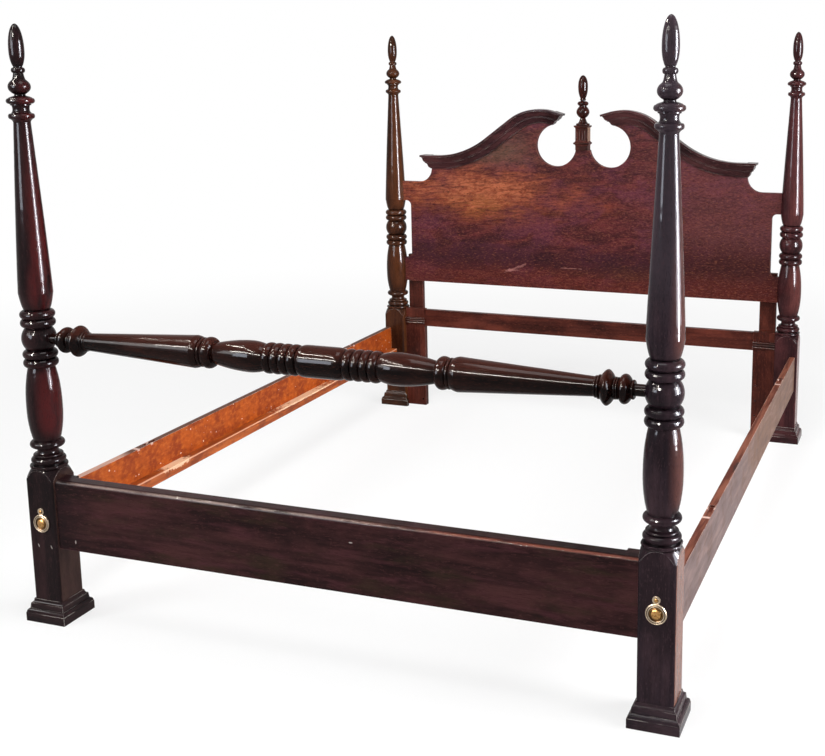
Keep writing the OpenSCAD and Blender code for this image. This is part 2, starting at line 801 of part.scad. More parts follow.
module ledger(side) {
    l = rail_end_y - ledger_gap;
    translate([side > 0 ? rail_in_x - ledger_w : -rail_in_x, -l, rail_z + ledger_up])
        cube([ledger_w, 2 * l, ledger_w]);
}

module ledger_left() color(strip_wood) ledger(-1);
module ledger_right() color(strip_wood) ledger(1);

// Plate with two hooks, drawn in the YZ plane; the rail's end is y = 0
module hook_outline() {
    translate([-hook_plate_len, -hook_plate_h / 2])
        square([hook_plate_len, hook_plate_h]);
    for (s = [-1, 1])
        translate([0, s * hook_row])
            polygon([[-1, -hook_h / 2 + 6], [plate_t + 2 * fit_gap, -hook_h / 2 + 6],
                [plate_t + 2 * fit_gap, -hook_h / 2], [hook_out - 4, -hook_h / 2],
                [hook_out, -hook_h / 2 + 4], [hook_out, hook_h / 2 - 4],
                [hook_out - 4, hook_h / 2], [-1, hook_h / 2]]);
}
hook_row = hook_plate_h / 2 - hook_h / 2 - 2;

module rail_hooks() color(steel) {
    for (side = [-1, 1])
        difference() {
            for (s = [-1, 1])
                translate([side * hook_x - plate_t / 2, s * rail_end_y, hook_mid_z])
                    mirror([0, s > 0 ? 0 : 1, 0])
                        rotate([90, 0, 90])
                            linear_extrude(plate_t)
                                hook_outline();
            hook_pins(side, run_gap);
        }
}

module rail_pins() color(steel) {
    for (side = [-1, 1])
        hook_pins(side);
}

// Keeper: plate with two slots, flush in the block's face
module keeper(side) {
    difference() {
        translate([-keeper_w / 2, -plate_t, -keeper_h / 2])
            cube([keeper_w, plate_t, keeper_h]);
        for (s = [-1, 1])
            translate([-plate_t / 2 - fit_gap, -plate_t - 1, s * hook_row - hook_h / 2 - fit_gap])
                cube([plate_t + 2 * fit_gap, plate_t + 2, hook_h + 2 * fit_gap]);
    }
}

module rail_keepers() color(steel) {
    for (side = [-1, 1])
        for (s = [-1, 1])
            translate([side * hook_x, s * rail_end_y, hook_mid_z])
                mirror([0, s > 0 ? 1 : 0, 0])
                    keeper(side);
}

// --- headboard -------------------------------------------------------
// Right half of the panel: straight outline, then rounded corners and eyes
panel_top_x = upper_x - swan_flat;
lug_x = px - lug_floor;

// Foot line of the swan neck: level run, lower bend, straight, upper bend.
// The straight takes up what the bed's width leaves between the bends
bend1_x = panel_top_x;
slope_v = [swan_slope, sqrt(1 - swan_slope * swan_slope)];
drop_v = [-swan_drop, sqrt(1 - swan_drop * swan_drop)];
bend1 = [bend1_x, swan_z + swan_r1];
s1 = bend1 - swan_r1 * slope_v;
swan_mid = (s1[0] - eye_x - eye_in - swan_r2 * slope_v[0]) / slope_v[1];
s2 = s1 + swan_mid * [-slope_v[1], slope_v[0]];
bend2 = s2 - swan_r2 * slope_v;
s3 = bend2 + swan_r2 * drop_v;
eye_z = bend2[1] + eye_over;

// The panel ends behind the moulding, top_back below its upper edge
top_back = 4;
function swan_top(h) = concat(
    [[upper_x, swan_z + h], [bend1_x, swan_z + h]],
    [for (i = [1:12]) let (t = asin(swan_slope) * i / 12)
        bend1 - (swan_r1 - h) * [sin(t), cos(t)]],
    [for (i = [0:14]) let (t = asin(swan_slope) - (asin(swan_slope) + asin(swan_drop)) * i / 14)
        bend2 + (swan_r2 + h) * [sin(t), cos(t)]]);

module panel_half() {
    end_low = bend2 + (swan_r2 - 40) * drop_v;
    difference() {
        polygon(concat(
            [[0, panel_z], [lug_x, panel_z], [lug_x, lug_top], [slot_x, lug_top],
                [slot_x, slot_top], [lug_x, slot_top], [lug_x, ear_top], [upper_x, ear_top]],
            swan_top(swan_h - top_back),
            [end_low, [eye_x - eye_r / 2, eye_z], [eye_x - eye_r / 2, neck_top], [0, neck_top]]));
        translate([eye_x, eye_z])
            circle(eye_r, $fn = 96);
    }
    // Rounded inner corners
    corner(slot_x, lug_top, 1, 1, slot_round);
    corner(slot_x, slot_top, 1, -1, slot_round);
    corner(upper_x, ear_top, 1, 1, upper_h);
    // Tongue that enters the centre plinth
    translate([0, neck_top - 1])
        square([neck_tongue_w / 2, neck_tongue_h + 1]);
}
neck_top = eye_z - 15;
neck_tongue_w = 28;
neck_tongue_h = 14;

// Fills an inner corner at [x, z] with a quarter-round hollow
module corner(x, z, sx, sz, r) {
    difference() {
        translate([sx > 0 ? x - 1 : x - r, sz > 0 ? z - 1 : z - r])
            square([r + 1, r + 1]);
        translate([x + sx * r, z + sz * r])
            circle(r);
    }
}

module headboard_panel() color(mahogany_red) {
    translate([0, panel_back_y, 0])
        rotate([90, 0, 0])
            linear_extrude(panel_t) {
                panel_half();
                mirror([1, 0])
                    panel_half();
            }
}

// Section of the swan-neck moulding, as [height, projection]: two ogees
// with a fillet between them and a thin edge on top
function ogee(h0, p0, h1, p1) = [for (i = [0:8]) let (u = i / 8)
    [swan_h * (h0 + (h1 - h0) * u), swan_out * (p0 + (p1 - p0) * (u + 0.09 * sin(360 * u)))]];
swan_list = [for (p = concat(
    [[0, 0], [0, swan_out * 0.13], [swan_h * 0.06, swan_out * 0.13]],
    ogee(0.06, 0.2, 0.4, 0.47),
    [[swan_h * 0.4, swan_out * 0.56], [swan_h * 0.49, swan_out * 0.56]],
    ogee(0.49, 0.63, 0.86, 0.89),
    [[swan_h * 0.86, swan_out], [swan_h, swan_out], [swan_h, 0]]))
    [round(p[0] * 100) / 100, round(p[1] * 100) / 100]];

// Straight run along +X from x = 0 to len, with its foot on z = 0
module swan_run(len) {
    rotate([90, 0, 90])
        linear_extrude(len)
            polygon([for (p = swan_list) [-p[1], p[0]]]);
}

// Mitred end that returns along the panel's edge
module swan_end() {
    intersection() {
        swan_run(swan_out + 1);
        rotate([90, 0, 0])
            linear_extrude(swan_out + 1)
                swan_end_section();
    }
    translate([0, panel_t, 0])
        rotate([90, 0, 0])
            linear_extrude(panel_t)
                swan_end_section();
}

module swan_end_section() {
    polygon([for (p = swan_list) [p[1], p[0]]]);
}

// Part of a revolve about the bend's centre, between two directions
module swan_bend(r, from, to, sign) {
    reach = 1000;
    rotate([90, 0, 0])
        intersection() {
            rotate_extrude($fn = 128)
                polygon([for (p = swan_list) [r + sign * p[0], p[1]]]);
            translate([0, 0, -1])
                linear_extrude(swan_out + 2)
                    polygon([[0, 0], reach * from, reach * to]);
        }
}

// Right-hand moulding in place on the panel's front
module swan_neck() {
    translate([0, panel_y, 0]) {
        translate([bend1_x, 0, swan_z])
            swan_run(swan_flat);
        translate([upper_x, 0, swan_z])
            swan_end();
        translate([bend1[0], 0, bend1[1]])
            swan_bend(swan_r1, [0, -1], -slope_v, -1);
        translate([s1[0], 0, s1[1]])
            rotate([0, asin(swan_slope), 0])
                translate([-swan_mid, 0, 0])
                    swan_run(swan_mid);
        translate([bend2[0], 0, bend2[1]])
            swan_bend(swan_r2, slope_v, drop_v, 1);
        translate([s3[0], 0, s3[1]])
            rotate([0, -asin(swan_drop), 0])
                mirror([1, 0, 0])
                    swan_end();
    }
}

module swan_neck_right() color(mahogany_dark) swan_neck();
module swan_neck_left() color(mahogany_dark) mirror([1, 0, 0]) swan_neck();

// --- centre plinth and finial ----------------------------------------
die_y = panel_back_y - die_d / 2;
die_top = neck_top + die_foot_h + die_ring_h + die_h + die_cap_h;

module centre_plinth() color(mahogany_dark) {
    z1 = neck_top + die_foot_h;
    z2 = z1 + die_ring_h;
    z3 = z2 + die_h;
    difference() {
        union() {
            translate([-die_w / 2, die_y - die_d / 2, neck_top])
                cube([die_w, die_d, die_top - neck_top - die_cap_h / 2]);
            // Base ring and cap, moulded on three sides and flush at the back
            translate([0, die_y, z1])
                moulded_box(die_w, die_d, ring_list, true);
            translate([0, die_y, z3 - die_cap_h])
                moulded_box(die_w, die_d, cap_list, true);
        }
        // Flutes in the front, with round ends
        for (i = [0:flute_count - 1])
            translate([(i - (flute_count - 1) / 2) * flute_pitch,
                die_y - die_d / 2 - flute_r * 0.3, z2 + flute_r + 2]) {
                cylinder(r = flute_r, h = flute_len);
                for (z = [0, flute_len])
                    translate([0, 0, z])
                        sphere(r = flute_r);
            }
        // Mortise for the panel's tongue
        translate([-neck_tongue_w / 2 - fit_gap, panel_y - fit_gap, neck_top - 1])
            cube([neck_tongue_w + 2 * fit_gap, panel_t + 2 * fit_gap, neck_tongue_h + fit_gap + 1]);
        // Socket for the finial's dowel
        translate([0, die_y, die_top - centre_dowel_len - face_gap])
            cylinder(r = dowel_r, h = centre_dowel_len + face_gap + 1);
    }
}
flute_pitch = (die_w - 6) / flute_count;
centre_dowel_len = 30;

flute_len = die_h - die_cap_h - 2 * flute_r - 6;
// Base ring: a fillet, a half-round and a fillet
ring_list = concat(
    [[1.5, 0], [1.5, die_ring_h * 0.2]],
    [for (i = [0:8]) let (t = -90 + 22.5 * i)
        [1.5 + (die_ring_out - 1.5) * cos(t), die_ring_h * (0.5 + 0.3 * sin(t))]],
    [[1.5, die_ring_h * 0.8], [1.5, die_ring_h]]);
// Cap: a cove under a square edge
cap_list = concat(
    [for (i = [0:6]) let (t = 15 * i)
        [die_cap_out * (1 - cos(t)), die_cap_h * sin(t)]],
    [[die_cap_out, 2 * die_cap_h]]);

module centre_finial() color(mahogany_dark) {
    translate([0, die_y, die_top]) {
        turned(centre_finial_list, 0, cf_foot_r - 4);
        translate([0, 0, -centre_dowel_len])
            cylinder(r = dowel_r - run_gap, h = centre_dowel_len + cf_foot_h / 2);
    }
}

// --- headboard frame -------------------------------------------------
leg_in_x = inner_x - leg_w;
leg_y = panel_back_y - leg_t;
cross_tenon_t = 10;

module head_cross_rail() color(mahogany_red) {
    translate([-leg_in_x, panel_y, cross_z])
        cube([2 * leg_in_x, panel_t, cross_h]);
    translate([-leg_in_x - cross_tenon, py - cross_tenon_t / 2, cross_z + 10])
        cube([2 * (leg_in_x + cross_tenon), cross_tenon_t, cross_h - 20]);
}

module leg_board(side) {
    difference() {
        translate([side > 0 ? leg_in_x : -inner_x, leg_y, 0])
            cube([leg_w, leg_t, leg_h]);
        translate([side > 0 ? leg_in_x - 1 : -leg_in_x - cross_tenon - fit_gap,
            py - cross_tenon_t / 2 - fit_gap, cross_z + 10 - fit_gap])
            cube([cross_tenon + fit_gap + 1, cross_tenon_t + 2 * fit_gap, cross_h - 20 + 2 * fit_gap]);
        for (i = [0:3])
            translate([side * (leg_in_x + leg_hole_in), leg_y - 1, leg_hole_z + i * leg_hole_pitch])
                rotate([-90, 0, 0])
                    cylinder(r = leg_hole_r, h = leg_t + 2);
    }
}

module leg_board_left() color(mahogany_red) leg_board(-1);
module leg_board_right() color(mahogany_red) leg_board(1);

// Reeded cap: three half-round reeds on a thin ground
module leg_cap(side) {
    g = leg_cap_out / 2;
    r = leg_cap_h / 3 / 2;
    translate([side > 0 ? leg_in_x : -inner_x, leg_y, leg_cap_z])
        rotate([90, 0, 90])
            linear_extrude(leg_w) {
                translate([-g, 0])
                    square([g, leg_cap_h]);
                for (i = [0:2])
                    translate([-g, r * (2 * i + 1)])
                        circle(min(r, leg_cap_out - g));
            }
}

module leg_cap_left() color(mahogany_dark) leg_cap(-1);
module leg_cap_right() color(mahogany_dark) leg_cap(1);

module head_stile(side) {
    x = inner_x - (leg_w - stile_w) / 2 + 6;
    translate([side > 0 ? x - stile_w : -x, panel_back_y, stile_z])
        cube([stile_w, stile_t, lug_top - lug_h + stile_lap - stile_z]);
}

module head_stile_left() color(mahogany_red) head_stile(-1);
module head_stile_right() color(mahogany_red) head_stile(1);

// --- bolt covers -----------------------------------------------------
// Relief of the cover: two rings, a hollow and a low dome
cover_list = concat(
    [[cover_r, 0], [cover_r, cover_t * 0.3]],
    [for (i = [0:6]) let (t = 30 * i) [cover_r - cover_r / 12 + cover_r / 12 * cos(t), cover_t * (0.3 + 0.34 * sin(t))]],
    [for (i = [1:6]) let (t = 30 * i) [cover_r * 0.75 + cover_r / 12 * cos(t), cover_t * (0.3 + 0.3 * sin(t))]],
    [[cover_r * 0.64, cover_t * 0.22], [cover_r * 0.56, cover_t * 0.3], [cover_r * 0.52, cover_t * 0.42]],
    [for (i = [1:7]) let (t = 90 * i / 7) [cover_r * 0.5 * cos(t), cover_t * (0.45 + 0.55 * sin(t))]]);

module bolt_cover(side) {
    translate([side * px, -py - bh - fit_gap, cover_z])
        rotate([90, 0, 0])
            difference() {
                union() {
                    rotate_extrude()
                        polygon(concat([[0, 0]], cover_list));
                    // Neck and eye on the pivot screw
                    translate([-eyelet_r * 0.6, 0, 0])
                        cube([eyelet_r * 1.2, cover_drop, cover_t * 0.3]);
                    translate([0, cover_drop, 0])
                        cylinder(r = eyelet_r, h = cover_t * 0.3);
                }
                translate([0, cover_drop, -1])
                    cylinder(r = pivot_r + run_gap, h = cover_t + 2);
            }
}

module bolt_cover_left() color(brass) bolt_cover(-1);
module bolt_cover_right() color(brass) bolt_cover(1);

module cover_screws() color(brass) {
    t = cover_t * 0.3 + 2 * fit_gap;
    for (side = [-1, 1])
        translate([side * px, -py - bh, cover_z + cover_drop])
            rotate([90, 0, 0]) {
                translate([0, 0, -pivot_len + 1])
                    cylinder(r = pivot_r, h = pivot_len - 1 + t + 1);
                translate([0, 0, t])
                    rotate_extrude()
                        polygon(concat([[0, 0]], [for (i = [0:5]) let (a = 16 * i)
                            [pivot_head_r * cos(a), 0.6 + 2 * sin(a)]], [[0, 2.6]]));
            }
}

post_foot_left();
post_foot_right();
post_head_left();
post_head_right();
finial_foot_left();
finial_foot_right();
finial_head_left();
finial_head_right();
plinth_foot_left();
plinth_foot_right();
plinth_head_left();
plinth_head_right();
foot_rail();
blanket_rail();
side_rail_left();
side_rail_right();
ledger_left();
ledger_right();
rail_hooks();
rail_pins();
rail_keepers();
headboard_panel();
swan_neck_left();
swan_neck_right();
centre_plinth();
centre_finial();
head_cross_rail();
leg_board_left();
leg_board_right();
leg_cap_left();
leg_cap_right();
head_stile_left();
head_stile_right();
bolt_cover_left();
bolt_cover_right();
cover_screws();
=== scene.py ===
import math

import bmesh
import bpy
from mathutils import Matrix, Vector


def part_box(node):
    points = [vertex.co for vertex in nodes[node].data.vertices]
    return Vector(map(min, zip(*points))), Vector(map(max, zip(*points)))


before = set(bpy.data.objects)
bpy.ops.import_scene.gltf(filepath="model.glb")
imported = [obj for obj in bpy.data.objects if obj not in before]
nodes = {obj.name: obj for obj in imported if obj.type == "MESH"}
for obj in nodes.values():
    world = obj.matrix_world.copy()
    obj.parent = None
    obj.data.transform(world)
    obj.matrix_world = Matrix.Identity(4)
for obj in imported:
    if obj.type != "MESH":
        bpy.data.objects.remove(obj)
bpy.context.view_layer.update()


# --- posts ---------------------------------------------------------------
# Four posts, each turned from one mahogany blank, its foot left square and
# its shoulder rounded by hand. Stained nearly black in front and browner at
# the headboard, then polished. The side towards the window is painted lighter
# and redder, as painted light from the window.

low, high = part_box("post_foot_right")
post_x = (low.x + high.x) / 2
post_y = -(low.y + high.y) / 2
half_block = 0.043
shoulder_low, shoulder_high = 0.372, 0.416
vase_low, vase_high = 0.48, 0.70
taper_low = 0.80
turned_radius = 0.04


class Shade:
    """A socket of a node tree. Arithmetic on it adds the nodes."""

    def __init__(self, network, socket):
        self.network = network
        self.socket = socket

    def maths(self, operation, *others):
        return self.network.node("ShaderNodeMath", {"operation": operation}, [self, *others])

    def __add__(self, other):
        return self.maths("ADD", other)

    def __radd__(self, other):
        return self.maths("ADD", other)

    def __sub__(self, other):
        return self.maths("SUBTRACT", other)

    def __rsub__(self, other):
        return self.network.node("ShaderNodeMath", {"operation": "SUBTRACT"}, [other, self])

    def __mul__(self, other):
        return self.maths("MULTIPLY", other)

    def __rmul__(self, other):
        return self.maths("MULTIPLY", other)

    def __truediv__(self, other):
        return self.maths("DIVIDE", other)

    def __pow__(self, other):
        return self.maths("POWER", other)

    def __abs__(self):
        return self.maths("ABSOLUTE")

    def over(self, other):
        return self.maths("GREATER_THAN", other)

    def between(self, low, high):
        """0 below low, 1 above high, and a soft step between them."""
        return self.network.node("ShaderNodeMapRange", {"interpolation_type": "SMOOTHSTEP"},
                                 {0: self, 1: low, 2: high, 3: 0.0, 4: 1.0})


class Network:
    """A node tree, built from its patterns towards its output."""

    def __init__(self, tree):
        self.tree = tree

    def node(self, kind, settings=None, sockets=(), output=0):
        """Adds a node, sets it, fills or links its sockets, and gives one output."""
        made = self.tree.nodes.new(kind)
        for key, value in (settings or {}).items():
            setattr(made, key, value)
        pairs = sockets.items() if isinstance(sockets, dict) else enumerate(sockets)
        for key, value in pairs:
            if isinstance(value, Shade):
                self.tree.links.new(value.socket, made.inputs[key])
            else:
                made.inputs[key].default_value = value
        return Shade(self, made.outputs[output])

    def end_with(self, shader):
        """Joins a shader to the output of the tree."""
        end = next(n for n in self.tree.nodes if n.type.startswith("OUTPUT"))
        self.tree.links.new(shader.socket, end.inputs[0])


class Finish(Network):
    """A material. What is the same all over it is set on the shader at the start."""

    def __init__(self, name, **constants):
        self.material = bpy.data.materials.new(name)
        self.material.use_nodes = True
        super().__init__(self.material.node_tree)
        self.shader = self.tree.nodes["Principled BSDF"]
        for key, value in constants.items():
            self.shader.inputs[key.replace("_", " ")].default_value = value

    def place(self):
        """x, y and z of the point on the bed, in metres."""
        at = self.node("ShaderNodeTexCoord", output=3)
        return [self.node("ShaderNodeSeparateXYZ", None, [at], i) for i in range(3)]

    def vector(self, x, y, z):
        return self.node("ShaderNodeCombineXYZ", None, [x, y, z])

    def noise(self, at, scale, detail=2.0, rough=0.5, bend=0.0):
        """A cloudy pattern from 0 to 1, with about scale clouds to the metre."""
        return self.node("ShaderNodeTexNoise", None,
                         {"Vector": at, "Scale": scale, "Detail": detail, "Roughness": rough,
                          "Distortion": bend})

    def mix(self, share, a, b):
        """Colour a, with a share of colour b laid over it."""
        a, b = [(*c, 1.0) if isinstance(c, tuple) and len(c) == 3 else c for c in (a, b)]
        return self.node("ShaderNodeMix", {"data_type": "RGBA"}, {0: share, 6: a, 7: b}, 2)

    def patch(self, u, v, middle, reach, wander=0.0, soft=0.5):
        """1 in the middle of an oval and 0 past its edge."""
        far = (((u - middle[0]) / reach[0]) ** 2.0 + ((v - middle[1]) / reach[1]) ** 2.0) ** 0.5
        return 1.0 - (far + wander).between(1.0 - soft, 1.0)

    def edge(self, radius):
        """How sharply the surface turns within a radius, 0 on a flat."""
        eased = self.node("ShaderNodeBevel", {"samples": 4}, {"Radius": radius})
        facing = self.node("ShaderNodeNewGeometry", output=1)
        same = self.node("ShaderNodeVectorMath", {"operation": "DOT_PRODUCT"}, [eased, facing], 1)
        return (1.0 - same).between(0.02, 0.16)

    def open_air(self, reach):
        """1 on an open surface, towards 0 in a valley."""
        return self.node("ShaderNodeAmbientOcclusion", {"samples": 4, "only_local": True},
                         {"Distance": reach}, 1)

    def bump(self, height, distance, strength, arris):
        """Bumps on a surface whose arrises are rounded to a radius."""
        eased = self.node("ShaderNodeBevel", {"samples": 6}, {"Radius": arris})
        return self.node("ShaderNodeBump", None, {"Height": height, "Distance": distance,
                                                  "Strength": strength, "Normal": eased})

    def close(self, **ends):
        """Links what varies over the surface to the shader, and gives the material."""
        for key, value in ends.items():
            self.tree.links.new(value.socket, self.shader.inputs[key.replace("_", " ")])
        return self.material


def grain_axes(finish, along):
    """The place along the grain and the two places across it."""
    x, y, z = finish.place()
    if along == "mitre":
        # Each run of a mitred moulding round a post has its grain lengthwise
        beside = (abs(abs(y) - post_y) - abs(abs(x) - post_x)).over(0.0)
        return x * beside + y * (1.0 - beside), y * beside + x * (1.0 - beside), z
    return (x, y, z) if along == "X" else (z, x, y)


def polished_mahogany(name, along, deep, body, light, heart=(0.05, 0.03), shift=0.0, ring=0.008,
                      gloss=0.2, wear_and_glint=0.6, shine=0.08, ease=0.0022, arris=0.0015,
                      wear_and_glint_to=None, stain=None):
    """Mahogany with growth bands, ribbon, pores, painted shade in the valleys, and pale edges, part
    wear and part painted highlight.

    deep, body and light are its dark, middle and light colours. heart is where
    the tree's heart lies across the grain, and ring the width of a growth band.
    Edges are painted pale as far in as ease, by the share wear_and_glint, to
    wear_and_glint_to, partly as wear and partly as painted highlights. arris is
    the radius at which they catch the light. stain lays more colour on the wood.
    """
    f = Finish(name, Coat_Weight=shine, Coat_Roughness=0.04, Specular_IOR_Level=0.02)
    u, v, w = grain_axes(f, along)
    u = u + shift
    slow = f.vector(v, w, u * 0.22)
    sway = f.noise(slow, 7.0, 3.0)
    reach = ((v - heart[0]) ** 2.0 + (w - heart[1]) ** 2.0) ** 0.5 + (sway - 0.5) * 0.03
    band = (reach * (2 * math.pi / ring)).maths("SINE") * 0.5 + 0.5
    fibre = f.noise(f.vector(v, w, u * 0.03), 420.0, 3.0, 0.6)
    ribbon = f.noise(f.vector(v, w, u * 0.10), 26.0, 3.0, 0.55).between(0.38, 0.62)
    cloud = f.noise(f.vector(v, w, u * 0.5), 9.0, 4.0, 0.6).between(0.40, 0.62)
    colour = f.mix(band * 0.5 * fibre.between(0.25, 0.75), body, deep)
    colour = f.mix(ribbon * 0.6, colour, light)
    colour = f.mix(cloud * 0.6, colour, deep)
    if stain:
        colour = stain(f, colour)

    speckle = f.noise(f.vector(v, w, u * 0.3), 260.0, 2.0, 0.7)
    colour = f.mix(speckle.between(0.54, 0.70) * 0.5, colour, light)
    pore = f.noise(f.vector(v, w, u * 0.035), 1300.0, 1.0).between(0.60, 0.7)
    colour = f.mix(pore * 0.6, colour, deep)

    air = f.open_air(0.014)
    patchy = f.noise(slow, 60.0, 3.0).between(0.40, 0.58)
    # Edges painted pale, partly as wear and partly as painted highlights on the arrises.
    pale_edge = f.edge(ease) * air.between(0.55, 0.85) * patchy
    colour = f.mix(pale_edge * wear_and_glint, colour, wear_and_glint_to or tuple(2.6 * c + 0.05 for c in light))
    # Painted shade, darkening the valleys.
    colour = f.mix(1.0 - air.between(0.15, 0.8), colour, tuple(0.3 * c for c in deep))

    smear = f.noise(f.vector(v, w, u), 38.0, 3.0)
    roughness = gloss + smear.between(0.4, 0.75) * 0.14 + (1.0 - air.between(0.2, 0.8)) * 0.25
    ripple = f.noise(f.vector(v, w, u * 0.4), 55.0, 2.0) * 0.5 + fibre * 0.10 - pore * 0.2
    return f.close(Base_Color=colour, Roughness=roughness,
                   Normal=f.bump(ripple, 0.0005, 0.3, arris))


def window_lit_side(middle, towards, colour, share, flat, nicks=(), taper=None):
    """Paints the window's light on the side of a post that faces it.

    The turning round the axis middle is painted by share towards colour, on
    its side towards the window, as painted light. The block's right face is
    painted to flat as a painted sheen, its shoulder's arris gets a painted
    highlight with some wear, its front has nicks at the given places, and the
    long taper may have a painted sheen of its own.
    """
    shoulder_wear_and_glint = (0.50, 0.45, 0.43)
    bare_nick = (0.50, 0.45, 0.42)

    def stain(f, so_far):
        x, y, z = f.place()
        block = 1.0 - z.between(shoulder_low + 0.023, shoulder_high - 0.004)
        face = (x - middle[0]).between(half_block - 0.0015, half_block - 0.0005) * block
        blotchy = f.noise(f.vector(x, y, z * 0.12), 60.0, 4.0, 0.65)
        # The block's right face is painted lighter, a painted sheen.
        so_far = f.mix(face * (0.55 + blotchy.between(0.30, 0.62) * 0.45), so_far, flat)
        # A painted highlight along the arris of the shoulder, with some wear.
        shoulder = z.between(shoulder_low, shoulder_low + 0.008)
        shoulder = shoulder * (1.0 - z.between(shoulder_high - 0.006, shoulder_high))
        so_far = f.mix(f.edge(0.0014) * shoulder * blotchy.between(0.34, 0.50) * 0.8, so_far,
                       shoulder_wear_and_glint)
        for across, up in nicks:
            tick = f.patch(x + (z - up) * 0.4, z, (across, up), (0.0016, 0.006))
            on_front = (middle[1] - y).over(half_block - 0.001)
            so_far = f.mix(tick * on_front, so_far, bare_nick)

        # The side towards the window is painted lighter and redder on the vase and the taper, as
        # painted light.
        nearer = (x - middle[0]) * towards[0] + (y - middle[1]) * towards[1]
        side = nearer / turned_radius
        patchy = f.noise(f.vector(x * 1.6, y * 1.6, z * 0.3), 17.0, 4.0, 0.6).between(0.30, 0.55)
        # A painted bluish sheen on the taper.
        if taper:
            so_far = f.mix(z.between(taper_low + 0.06, taper_low + 0.24) * 0.55, so_far, taper)
        vase = z.between(vase_low, vase_low + 0.05) * (1.0 - z.between(vase_high - 0.04, vase_high))
        above = z.between(taper_low, taper_low + 0.06)
        lit_turning = vase.maths("MAXIMUM", above) * (1.0 - block)
        return f.mix(side.between(0.25, 1.0) * patchy * lit_turning * share, so_far, colour)
    return stain


def dress(node, material):
    """Gives a solid its finish in every material slot."""
    for slot in nodes[node].material_slots:
        slot.material = material


post_tones = {
    "foot_left": ((0.003, 0.0015, 0.002), (0.012, 0.0060, 0.0068), (0.034, 0.014, 0.015)),
    # The right foot post's middle tone is lifted and blued, partly its wood and partly a painted
    # sheen of the window on its taper.
    "foot_right": ((0.003, 0.0018, 0.003), (0.022, 0.013, 0.018), (0.050, 0.026, 0.032)),
    "head_left": ((0.005, 0.002, 0.001), (0.030, 0.010, 0.005), (0.085, 0.026, 0.010)),
    "head_right": ((0.007, 0.0025, 0.003), (0.033, 0.010, 0.012), (0.085, 0.024, 0.025)),
}
post_hearts = {"foot_left": (-0.86, -1.02), "foot_right": (0.775, -1.10),
               "head_left": (-0.77, 1.11), "head_right": (0.84, 1.02)}
# The window's painted light on each post: its axis, the way to the window, the lit colour and its
# share, the block's lit right face, and nicks.
post_window_light = {
    "foot_left": window_lit_side((-post_x, -post_y), (0.97, -0.24), (0.100, 0.013, 0.013), 0.6,
                            (0.045, 0.023, 0.019), ((-0.826, 0.208), (-0.786, 0.208))),
    "foot_right": window_lit_side((post_x, -post_y), (0.99, 0.10), (0.095, 0.036, 0.030), 0.9,
                             (0.200, 0.085, 0.060), taper=(0.046, 0.034, 0.044)),
    "head_left": window_lit_side((-post_x, post_y), (0.80, -0.60), (0.120, 0.036, 0.012), 0.5,
                            (0.080, 0.026, 0.010)),
    "head_right": window_lit_side((post_x, post_y), (0.80, -0.60), (0.120, 0.034, 0.030), 0.6,
                             (0.130, 0.045, 0.038)),
}
post_wood = {}
for corner, (deep, body, light) in post_tones.items():
    post_wood[corner] = polished_mahogany(
        "post_" + corner, "Z", deep, body, light, heart=post_hearts[corner], ring=0.011,
        gloss=0.12, shine=0.10, stain=post_window_light[corner])
    dress("post_" + corner, post_wood[corner])


# --- finials -------------------------------------------------------------
# Each finial is turned apart from its post, from offcuts of the same blank,
# and stands on a loose dowel, so that it lifts off.

for corner in post_tones:
    dress("finial_" + corner, post_wood[corner])


# --- plinth mouldings ----------------------------------------------------
# Moulded strips mitred round the posts' feet, glued and bradded. Shoes and
# brooms scuff them, and their arrises are painted pale, partly as that wear
# and partly as painted highlights.

scuffs_and_glints = (0.60, 0.54, 0.50)
for corner, (deep, body, light) in post_tones.items():
    dress("plinth_" + corner, polished_mahogany(
        "plinth_" + corner, "mitre", deep, body, light, heart=(0.0, 0.09), shift=0.4,
        gloss=0.14, wear_and_glint=1.0, shine=0.16, ease=0.0016, wear_and_glint_to=scuffs_and_glints))


# --- foot rail -----------------------------------------------------------
# A thick mahogany plank between the foot posts, tenoned and glued, its top
# front edge rounded and its back relieved. Flat-sawn, with long figure.

def foot_rail_stain(f, so_far):
    """Long red and olive streaks, a painted shadow at the left end, and a top front edge painted
    pale: a painted highlight to the left, wear to the right.
    """
    red, olive_brown = (0.070, 0.021, 0.026), (0.026, 0.017, 0.009)
    left_post_shadow, speck = (0.007, 0.004, 0.005), (0.40, 0.34, 0.32)
    highlight_left, worn_right = (0.30, 0.21, 0.18), (0.24, 0.065, 0.040)
    low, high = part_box("foot_rail")
    front_face, top_face = low.y, high.z
    x, y, z = f.place()
    streaks = f.noise(f.vector(x * 0.16, y, z), 42.0, 5.0, 0.6, 0.4)
    colour = f.mix(streaks.between(0.48, 0.70) * 0.55, so_far, red)
    olive = f.noise(f.vector(x * 0.22, y, z + 3.0), 26.0, 4.0, 0.6)
    colour = f.mix(olive.between(0.50, 0.70) * 0.6, colour, olive_brown)
    # Painted shadow of the left post on the left end of the rail.
    colour = f.mix((x * -1.0).between(0.60, 0.78) * 0.7, colour, left_post_shadow)
    front = 1.0 - (y - front_face).between(0.003, 0.008)
    # The top front edge is painted pale: a painted highlight to the left, wear showing redder wood
    # to the right.
    wear_and_glint = z.between(top_face - 0.008, top_face - 0.003) * front
    wear_and_glint = wear_and_glint * f.noise(f.vector(x * 0.3, y, z), 40.0, 4.0).between(0.30, 0.55)
    colour = f.mix(wear_and_glint * 0.9, colour, f.mix(x.between(-0.1, 0.4), highlight_left, worn_right))
    for middle, reach in (((-0.715, 0.228), (0.0022, 0.006)), ((0.075, 0.332), (0.006, 0.002))):
        colour = f.mix(f.patch(x, z, middle, reach) * front, colour, speck)
    return colour


